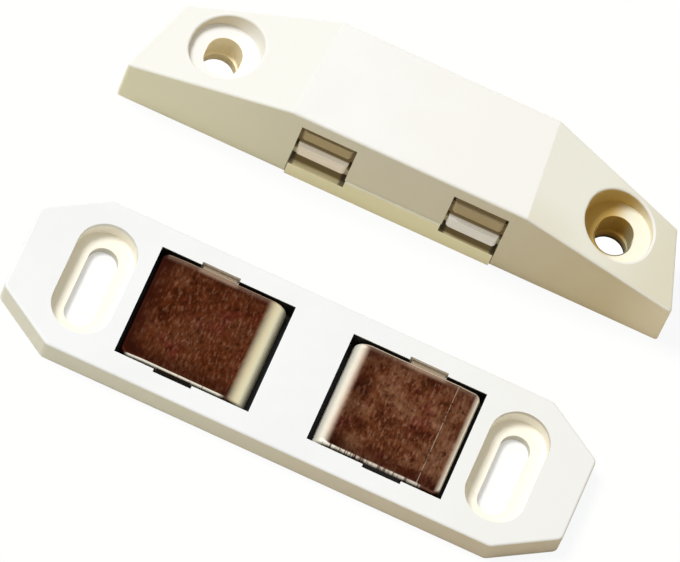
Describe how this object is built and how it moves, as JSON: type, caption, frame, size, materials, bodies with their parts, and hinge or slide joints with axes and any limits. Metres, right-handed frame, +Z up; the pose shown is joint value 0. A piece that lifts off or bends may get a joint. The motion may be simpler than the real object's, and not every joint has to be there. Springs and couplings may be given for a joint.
{
  "type": "magnetic catch",
  "caption": "Double magnetic catch: moulded housing with floating magnet packs behind windows, and a counterplate with rocking steel keepers.",
  "frame": {"origin": "on the floor under the middle of the laid-out pair", "axes": "+X along both bars, +Y from the counterplate to the magnet housing, +Z up from the mounting faces"},
  "size_m": [0.0709, 0.0498, 0.0127],
  "materials": {
    "housing_plastic": "satin moulded, warm white",
    "cover_plastic": "satin moulded, slightly yellower white",
    "plate_plastic": "satin moulded, white",
    "keeper_steel": "bright plated, worn to a fine mottle",
    "pole_steel": "zinc plated",
    "ferrite": "matt sintered black"
  },
  "bodies": {
    "halves": {"housing": "housing_plastic", "base_cover": "cover_plastic", "counterplate": "plate_plastic"},
    "pack_left": {"magnet_left": "ferrite", "pole_upper_left": "pole_steel", "pole_lower_left": "pole_steel"},
    "pack_right": {"magnet_right": "ferrite", "pole_upper_right": "pole_steel", "pole_lower_right": "pole_steel"},
    "rocker_left": {"keeper_left": "keeper_steel"},
    "rocker_right": {"keeper_right": "keeper_steel"}
  },
  "joints": [
    {"name": "pack_left_float", "type": "slide", "parent": "halves", "child": "pack_left", "axis": [0, -1, 0], "range_m": [-0.0001, 0.0008]},
    {"name": "pack_right_float", "type": "slide", "parent": "halves", "child": "pack_right", "axis": [0, -1, 0], "range_m": [-0.0006, 0.0003]},
    {"name": "keeper_left_rock", "type": "hinge", "parent": "halves", "child": "rocker_left", "pos_m": [-0.0136, -0.01448, 0.0027], "axis": [0, 1, 0], "range_deg": [-2.5, 2.5]},
    {"name": "keeper_right_rock", "type": "hinge", "parent": "halves", "child": "rocker_right", "pos_m": [0.0126, -0.01448, 0.0027], "axis": [0, 1, 0], "range_deg": [-2.5, 2.5]}
  ]
}
